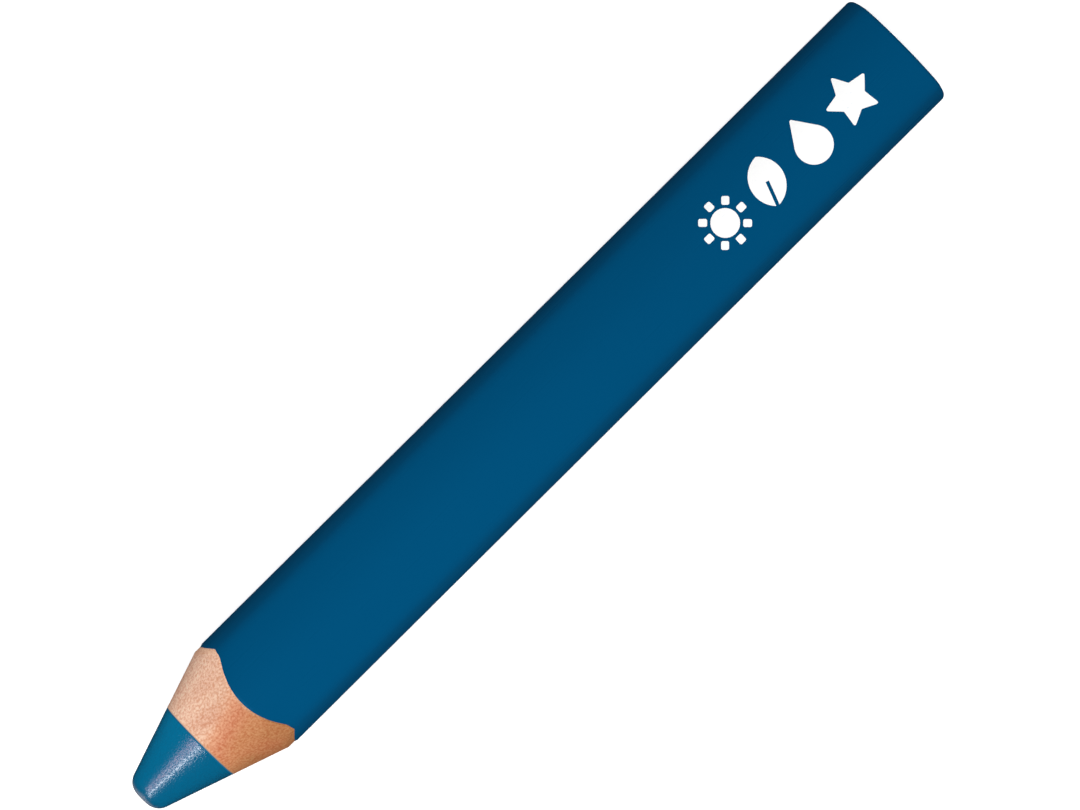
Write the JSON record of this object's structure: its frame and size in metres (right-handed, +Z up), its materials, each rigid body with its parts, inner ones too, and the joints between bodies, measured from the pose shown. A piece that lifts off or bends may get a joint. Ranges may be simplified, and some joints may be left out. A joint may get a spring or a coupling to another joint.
{
  "type": "crayon",
  "caption": "Thick wood-cased colouring crayon with a soft square lacquered barrel, a jumbo coloured core, a sharpened cone with a rounded point and a dipped flat end.",
  "frame": {"origin": "on the surface that the crayon lies on, under the middle of its length and of its width", "axes": "+X along the barrel from the point to the dipped end, +Z up through the stamped face, +Y to the left seen from the point"},
  "size_m": [0.1156, 0.0148, 0.0148],
  "materials": {
    "pigment_core": "satin",
    "glue": "satin",
    "cedar": "matte",
    "primer": "matte",
    "lacquer": "satin",
    "stamping_foil": "satin"
  },
  "bodies": {
    "root": {"core": "pigment_core", "core_bond": "glue", "slat_upper": "cedar", "slat_lower": "cedar", "seam_glue_left": "glue", "seam_glue_right": "glue", "undercoat": "primer", "colour_lacquer": "lacquer", "end_dip": "lacquer", "stamped_sun": "stamping_foil", "stamped_leaf": "stamping_foil", "stamped_drop": "stamping_foil", "stamped_star": "stamping_foil"}
  },
  "joints": []
}
